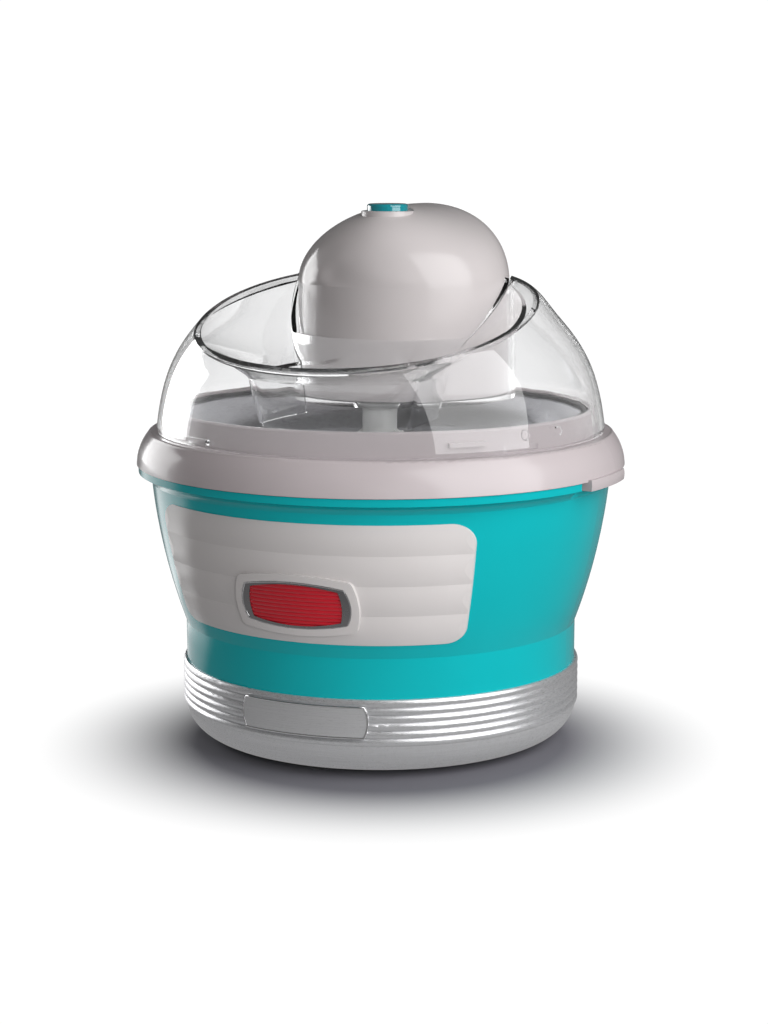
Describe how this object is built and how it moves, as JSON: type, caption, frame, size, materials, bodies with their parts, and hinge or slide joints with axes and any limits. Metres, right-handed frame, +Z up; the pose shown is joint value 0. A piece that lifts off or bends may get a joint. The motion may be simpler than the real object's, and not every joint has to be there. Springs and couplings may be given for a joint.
{
  "type": "electric ice cream maker",
  "caption": "Countertop ice cream maker: freezer bowl in a ribbed casing, clear lid with a filling funnel, and a domed motor head that turns a flat paddle.",
  "frame": {"origin": "on the floor, under the axis of the bowl", "axes": "+Z up, front with the badge and the name plate towards -Y, +X to the right seen from the front"},
  "size_m": [0.2426, 0.2386, 0.2604],
  "materials": {
    "silver_base": "satin silver",
    "black_plate": "fine texture",
    "foot_rubber": "matt",
    "screw_steel": "zinc plated",
    "teal_casing": "glossy",
    "cream_panel": "glossy",
    "badge_chrome": "dark chrome",
    "badge_red": "glossy",
    "name_metal": "satin",
    "cream_ring": "glossy",
    "grey_shell": "satin",
    "liner_metal": "satin",
    "coolant_gel": "gel",
    "seal_rubber": "matt",
    "white_acetal": "satin",
    "clear_lid": "clear",
    "cream_head": "glossy",
    "teal_button": "translucent look, glossy",
    "bronze": "sintered",
    "steel": "ground",
    "zinc_sheet": "zinc plated",
    "magnet": "ferrite",
    "coil": "enamelled wire",
    "black_plastic": "moulded",
    "lead_rubber": "insulated"
  },
  "bodies": {
    "casing": {"base_shell": "silver_base", "base_plate": "black_plate", "foot_front": "foot_rubber", "foot_right": "foot_rubber", "foot_back": "foot_rubber", "foot_left": "foot_rubber", "base_screws": "screw_steel", "outer_casing": "teal_casing", "front_panel": "cream_panel", "badge_frame": "badge_chrome", "badge_insert": "badge_red", "name_plate": "name_metal", "bowl_seat": "seal_rubber"},
    "freezer_bowl": {"bowl_ring": "cream_ring", "bowl_shell": "grey_shell", "bowl_liner": "liner_metal", "coolant": "coolant_gel", "filling_plug": "black_plastic", "bowl_seal": "seal_rubber"},
    "lid_bearing": {"lid_bush": "white_acetal"},
    "lid": {"lid_dome": "clear_lid", "lid_funnel": "clear_lid"},
    "motor_unit": {"motor_housing": "cream_head", "motor_bottom_cover": "cream_head", "housing_screws": "screw_steel", "output_bush": "bronze", "reduction_pin": "steel", "gear_plate": "zinc_sheet", "plate_screws": "screw_steel", "rotor_bush": "bronze", "motor_coil": "coil", "motor_can": "zinc_sheet", "motor_screws": "screw_steel", "switch_bracket": "zinc_sheet", "switch_case": "black_plastic", "button_bezel": "cream_head", "button_spring": "steel", "terminal_block": "white_acetal", "inner_leads": "lead_rubber", "cable_gland": "black_plastic"},
    "button": {"power_button": "teal_button", "switch_plunger": "white_acetal"},
    "output": {"output_gear": "white_acetal", "output_shaft": "steel"},
    "reduction": {"reduction_gear": "white_acetal"},
    "rotor": {"rotor_pinion": "bronze", "rotor_shaft": "steel", "rotor_magnet": "magnet"},
    "paddle": {"paddle": "white_acetal"}
  },
  "joints": [
    {"name": "bowl_lift", "type": "slide", "parent": "casing", "child": "freezer_bowl", "axis": [0, 0, 1], "range_m": [0, 0.11]},
    {"name": "lid_lift", "type": "slide", "parent": "freezer_bowl", "child": "lid_bearing", "axis": [0, 0, 1], "range_m": [0, 0.13]},
    {"name": "lid_twist", "type": "hinge", "parent": "lid_bearing", "child": "lid", "pos_m": [0, 0, 0.166], "axis": [0, 0, -1], "range_deg": [0, 15]},
    {"name": "motor_lift", "type": "slide", "parent": "lid", "child": "motor_unit", "axis": [0, 0, 1], "range_m": [0, 0.08]},
    {"name": "button_press", "type": "slide", "parent": "motor_unit", "child": "button", "axis": [0, 0, -1], "range_m": [0, 0.0025], "stiffness_N_per_m": 400, "springref_m": -0.002, "deforming": ["button_spring"]},
    {"name": "paddle_spin", "type": "hinge", "parent": "lid", "child": "paddle", "pos_m": [0, 0, 0.1], "axis": [0, 0, 1], "continuous": true},
    {"name": "output_spin", "type": "hinge", "parent": "motor_unit", "child": "output", "pos_m": [0, 0, 0.174], "axis": [0, 0, 1], "continuous": true},
    {"name": "reduction_spin", "type": "hinge", "parent": "motor_unit", "child": "reduction", "pos_m": [0, 0.02212, 0.185], "axis": [0, 0, 1], "continuous": true},
    {"name": "rotor_spin", "type": "hinge", "parent": "motor_unit", "child": "rotor", "pos_m": [0, 0.05024, 0.2], "axis": [0, 0, 1], "continuous": true}
  ],
  "couplings": [
    {"joint": "output_spin", "follows": "paddle_spin", "ratio": 1},
    {"joint": "reduction_spin", "follows": "paddle_spin", "ratio": -2.6667},
    {"joint": "rotor_spin", "follows": "paddle_spin", "ratio": 16}
  ]
}
